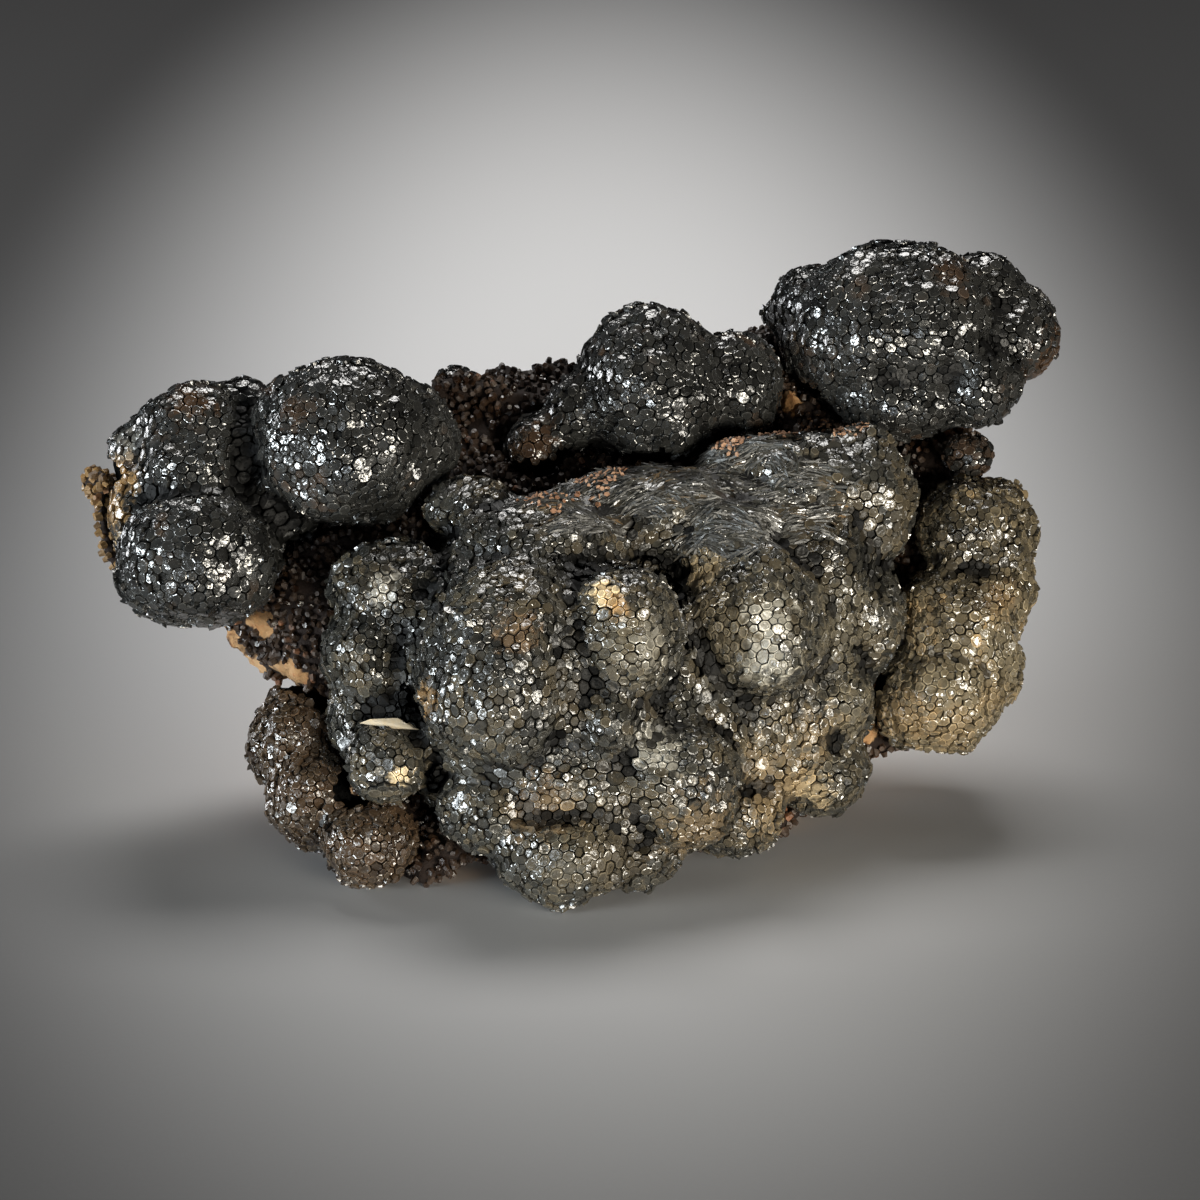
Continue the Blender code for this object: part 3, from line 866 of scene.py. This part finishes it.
def in_picture(points):
    """How far to the right and up the camera sees each point, in millimetres at the aim's distance."""
    from_eye = points - np.array(EYE)
    scale = (PICTURE_WIDTH * LENS / SENSOR) / (from_eye @ np.array(TOWARDS))
    upward = np.array((0.0, math.sin(VIEW_TILT), math.cos(VIEW_TILT)))
    return np.stack([from_eye[:, 0] * scale, (from_eye @ upward) * scale], axis=1) / MM


def ledge_share(points, outward):
    """1 on the front cluster's flat top, where strands lie in place of plates."""
    away = np.linalg.norm((in_picture(points) - LEDGE_MIDDLE) / LEDGE_REACH, axis=1)
    ragged = noise_at(points, 2.2 * MM, seed=31, octaves=2) * 0.2
    level = smoothstep(outward @ np.array((0.0, -0.25, 0.97)), 0.5, 0.7)
    return (1 - smoothstep(away + ragged, 0.86, 1.0)) * level


def lumpiness(node, points):
    """1 where a crust is made of small round lumps: on two crusts and the front cluster's lower right."""
    if node == "front_cluster":
        right, up = in_picture(points).T
        return smoothstep(right - up, LUMPS_START, LUMPS_FULL)
    return 1.0 if node in ("right_column", "lower_left_cluster") else 0.0


def cluster_skin(node, seed, creases):
    """A cluster's surface with its creases, swellings and lumps, before it is cut into cells."""
    skin = fine_skin(node, FINE_STEP)
    round_off(skin, FINE_STEP, FACET_REACH)
    shape_creases(skin, FINE_STEP, creases)
    points = places(skin)
    lumps = billow(points, LUMP_SPACING, seed) * lumpiness(node, points) * LUMP
    swell = noise_at(points, SWELL_SPACING, seed, octaves=4) * SWELL * MM - SKIN_DEPTH + lumps
    set_places(skin, points + normals(skin) * swell[:, None])
    return skin


def seen_spots(surface, spots):
    """Spots with the point that the camera sees in place of where that is in the picture."""
    return [(seen_at([surface], *place), reach, colour, share) for place, reach, colour, share in spots]


def crust_cells(skin, node, cells):
    """The skin in even triangles, marked with where plates grow, where strands lie, and the creases, which
    are painted in shade.
    """
    even = even_triangles(skin, cells)
    points = places(even)
    on_ledge = ledge_share(points, normals(even)) if node == "front_cluster" else np.zeros(len(points))
    hollow = -bulge_of(even, edge_length(even), CREASE_REACH)
    set_attribute(even, "crust", (distance_to(rock_tree, points) > CONTACT) & (on_ledge < 0.5))
    set_attribute(even, "ledge", on_ledge)
    set_attribute(even, "crease", smoothstep(hollow, CREASE_START, CREASE_FULL))
    return even


def ledge_strands(skin):
    """The fibrous skin on the front cluster's flat top."""
    set_attribute(skin, "share", ledge_share(places(skin), normals(skin)))
    return grown("ledge_strands", skin, strands, {
        "Spacing": 0.28 * MM, "Length Low": 0.6 * MM, "Length High": 1.3 * MM, "Width": 0.16 * MM,
        "Thickness": 0.1 * MM, "Lift": -0.02 * MM, "Lean": 0.0, "Flow": (1.0, 0.25, 0.1), "Swirl": 4.0,
        "Straying": 0.35, "Seed": 5,
        "Material": pyromorphite("ledge_strands", SOOT, FLINT, GOLD, 0.8, 0.42)})


def druse_share(points, outward, surface):
    """1 where small crystals cover the rock: on its open side and its left rim, but for the bare places."""
    worn = outward @ np.array(OPEN_SIDE)
    left_rim = smoothstep(-points[:, 0], *LEFT_RIM) * 0.9
    grown_over = np.maximum(smoothstep(points[:, 0], *GROWN_OVER) * 0.45, left_rim)
    ripple = noise_at(points, 3.0 * MM, seed=22, octaves=2) * 0.25
    share = smoothstep(worn + grown_over + ripple, 0.3, 0.55)
    for place, reach in BARE_PLACES:
        away = np.linalg.norm(points - np.array(seen_at([surface], *place)), axis=1)
        ragged = away / MM + noise_at(points, 1.5 * MM, seed=24, octaves=2) * 0.7
        share = np.minimum(share, smoothstep(ragged, reach * 0.8, reach))
    return share


def weathered_rock():
    """The rock's skin with its earthy relief, and its surface from before that relief."""
    skin = fine_skin("rock", ROCK_STEP)
    round_off(skin, ROCK_STEP, ROCK_FACET_REACH)
    points = places(skin)
    outward = normals(skin)
    surface = tree_of(skin)
    druse = druse_share(points, outward, surface)
    pits = billow(points, 1.1 * MM, seed=23, octaves=3) * 0.7 * (1 - druse)
    earthy = noise_at(points, 2.8 * MM, seed=21, octaves=4) * 0.42 - pits - 0.1
    set_places(skin, points + outward * (earthy * MM)[:, None])
    set_attribute(skin, "druse", druse)
    set_attribute(skin, "share", druse)
    return skin, surface


def brown_druse(skin, surface):
    """The small brown crystals on the rock."""
    return grown("brown_druse", skin.copy(), grains, {
        "Spacing": 0.5 * MM, "Length Low": 0.26 * MM, "Length High": 0.44 * MM, "Width": 0.34 * MM,
        "Thickness": 0.5 * MM, "Lift": 0.02 * MM, "Lean": 0.6, "Flow": (0.0, 0.0, 0.0), "Swirl": 0.0,
        "Straying": 1.0, "Seed": 6, "Material": druse_crystal(seen_spots(surface, DRUSE_SPOTS))})


def seam_share(points, seams):
    """1 near the places where loose flakes have gathered."""
    away = np.min([np.linalg.norm(points - place, axis=1) for place in seams], axis=0)
    ripple = noise_at(points, 1.2 * MM, seed=41, octaves=2) * 1.1 * MM
    return 1 - smoothstep(away + ripple, 0.6 * MM, 2.4 * MM)


def loose_flakes(number, skin, seams):
    """The flakes in the seams, on one of the surfaces beside them."""
    skin = skin.copy()
    skin.attributes.remove(skin.attributes["share"])
    set_attribute(skin, "share", seam_share(places(skin), seams))
    return grown(f"loose_flakes_{number}", skin, flakes, {
        "Spacing": 0.34 * MM, "Length Low": 0.14 * MM, "Length High": 0.36 * MM, "Width": 0.22 * MM,
        "Thickness": 0.09 * MM, "Lift": 0.2 * MM, "Lean": 0.8, "Flow": (0.0, 0.0, 0.0), "Swirl": 0.0,
        "Straying": 1.0, "Seed": 7, "Material": rusty_flake()})


def limonite_matrix(skin):
    """The rock itself."""
    piece = linked_object("limonite_matrix", skin)
    skin.materials.clear()
    skin.materials.append(limonite())
    for face in skin.polygons:
        face.use_smooth = True
    return piece


def splinter_on(skin):
    """A pale splinter that lies on the front cluster's left shoulder."""
    resting = seen_at([tree_of(skin)], *SPLINTER_PLACE) - TOWARDS * SPLINTER_LIFT * MM
    mesh = bpy.data.meshes.new("pale_splinter")
    work = bmesh.new()
    for along, across, up in SPLINTER_CORNERS:
        drop = along * SPLINTER_SLOPE
        corner = Vector((along, across * SPLINTER_GIRTH - drop, up * SPLINTER_GIRTH - drop))
        work.verts.new(resting + corner * MM)
    bmesh.ops.convex_hull(work, input=work.verts)
    bmesh.ops.recalc_face_normals(work, faces=work.faces)
    work.to_mesh(mesh)
    work.free()
    mesh.materials.append(pale_splinter())
    return linked_object("pale_splinter", mesh)


skins = {}
for seed, (node, cells, plates, dark, light, stain, stain_from, gloss, spots, slot) in enumerate(CRUSTS, 1):
    skin = cluster_skin(node, seed, DEEP_CREASES if plates is BIG else SHALLOW_CREASES)
    skins[node] = skin
    spots = seen_spots(tree_of(skin), spots)
    material = pyromorphite(node + "_crystals", dark, light, stain, stain_from, gloss, spots)
    even = crust_cells(skin, node, cells)
    piece = grown(node + "_crystals", even, crust, {**plates, "Seed": seed * 10, "Material": material})
    hand_over(piece, node)

front_skin = skins["front_cluster"]
hand_over(ledge_strands(front_skin))
rock_skin, rock_surface = weathered_rock()
hand_over(brown_druse(rock_skin, rock_surface))
seam_surfaces = [tree_of(front_skin), rock_surface]
seams = [np.array(seen_at(seam_surfaces, *place)) for place in SEAMS]
hand_over(loose_flakes(1, front_skin, seams))
hand_over(loose_flakes(2, rock_skin, seams))
hand_over(limonite_matrix(rock_skin), "rock")
hand_over(splinter_on(front_skin))


def card_floor():
    """The pale floor with its painted pool of light, far wider than the picture."""
    mesh = bpy.data.meshes.new("floor")
    work = bmesh.new()
    bmesh.ops.create_grid(work, x_segments=1, y_segments=1, size=CARD_REACH)
    work.to_mesh(mesh)
    work.free()
    mesh.materials.append(card_with_painted_light_pool())
    return linked_object("floor", mesh)


def dim_room(colour):
    """The faint light that comes from everywhere."""
    world = bpy.data.worlds.new("studio")
    bpy.context.scene.world = world
    world.use_nodes = True
    world.node_tree.nodes["Background"].inputs["Color"].default_value = (*colour, 1.0)


def softbox(name, azimuth, elevation, distance, width, height, radiance, colour):
    """A soft light in this direction from the specimen.

    Azimuth 0 is the camera's side, and positive is to the camera's right.
    """
    light = bpy.data.lights.new(name, "AREA")
    light.shape = "RECTANGLE"
    light.size = width
    light.size_y = height
    light.energy = radiance * math.pi * width * height
    light.color = colour
    lamp = bpy.data.objects.new(name, light)
    bpy.context.scene.collection.objects.link(lamp)
    turn, rise = math.radians(azimuth), math.radians(elevation)
    away = Vector((math.sin(turn) * math.cos(rise), -math.cos(turn) * math.cos(rise), math.sin(rise)))
    lamp.location = LIT_POINT + away * distance
    lamp.rotation_mode = "QUATERNION"
    lamp.rotation_quaternion = away.to_track_quat("Z", "Y")
    lamp.visible_camera = False


def photo_camera():
    """The camera at the photograph's viewing angle."""
    camera = bpy.data.cameras.new("camera")
    camera.lens = LENS
    camera.sensor_width = SENSOR
    camera.clip_start = 0.01
    viewer = bpy.data.objects.new("camera", camera)
    bpy.context.scene.collection.objects.link(viewer)
    viewer.location = EYE
    viewer.rotation_mode = "QUATERNION"
    viewer.rotation_quaternion = TOWARDS.to_track_quat("-Z", "Y")
    return viewer


# The studio. The lights surround a point a little above the specimen's middle.
LIT_POINT = Vector((0.0, 0.0, 28 * MM))
floor = card_floor()
dim_room((0.012, 0.012, 0.014))
# name, azimuth and elevation in degrees, distance, width and height in metres, radiance, colour
softbox("left_softbox", -62, 2, 0.5, 0.18, 0.12, 38.0, (0.88, 0.96, 1.0))
softbox("right_softbox", 28, 1, 0.5, 0.16, 0.13, 28.0, (1.0, 0.93, 0.78))
softbox("low_card", -16, -4, 0.2, 0.08, 0.02, 8.0, (0.85, 0.93, 1.0))
softbox("right_card", 42, 0, 0.22, 0.12, 0.05, 12.0, (1.0, 0.95, 0.86))
softbox("overhead", 180, 62, 0.5, 0.26, 0.18, 10.0, (1.0, 0.98, 0.95))
softbox("rim", -120, 4, 0.5, 0.14, 0.14, 12.0, (0.95, 0.97, 1.0))
bpy.context.scene.camera = photo_camera()
bpy.context.scene.view_settings.view_transform = "Standard"
